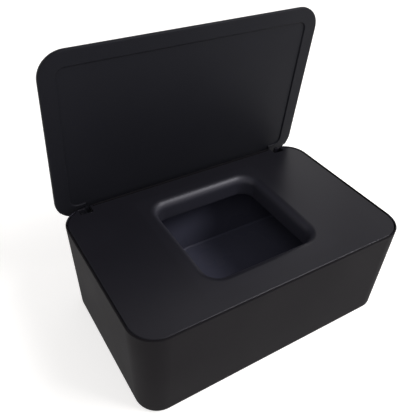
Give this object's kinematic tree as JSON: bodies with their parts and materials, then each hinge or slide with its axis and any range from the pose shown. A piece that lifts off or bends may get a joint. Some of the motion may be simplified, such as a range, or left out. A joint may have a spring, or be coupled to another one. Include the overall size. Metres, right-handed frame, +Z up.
{
  "type": "countertop wipes dispenser",
  "caption": "Tapered rounded box for wet wipes with a drop-in deck, a rolled-edge square opening to pull wipes through, and a hinged lid that stands open on its stop.",
  "frame": {"origin": "middle of the base, on the surface that the feet stand on", "axes": "+X along the box's length, +Y to the hinge side, +Z up"},
  "size_m": [0.19, 0.127, 0.1794],
  "materials": {
    "tub_plastic": "fine satin black moulding",
    "deck_plastic": "fine satin black moulding",
    "lid_plastic": "fine satin black moulding",
    "pin_steel": "drawn stainless wire",
    "foot_rubber": "soft matt"
  },
  "bodies": {
    "tub": {"tub": "tub_plastic", "foot_front_left": "foot_rubber", "foot_front_right": "foot_rubber", "foot_back_left": "foot_rubber", "foot_back_right": "foot_rubber"},
    "deck": {"deck": "deck_plastic", "hinge_pin_left": "pin_steel", "hinge_pin_right": "pin_steel"},
    "lid": {"lid": "lid_plastic"}
  },
  "joints": [
    {"name": "deck_lift", "type": "slide", "parent": "tub", "child": "deck", "axis": [0, 0, 1], "range_m": [0, 0.05]},
    {"name": "lid_hinge", "type": "hinge", "parent": "deck", "child": "lid", "pos_m": [0, 0.0563, 0.0628], "axis": [1, 0, 0], "range_deg": [0, 84]}
  ]
}
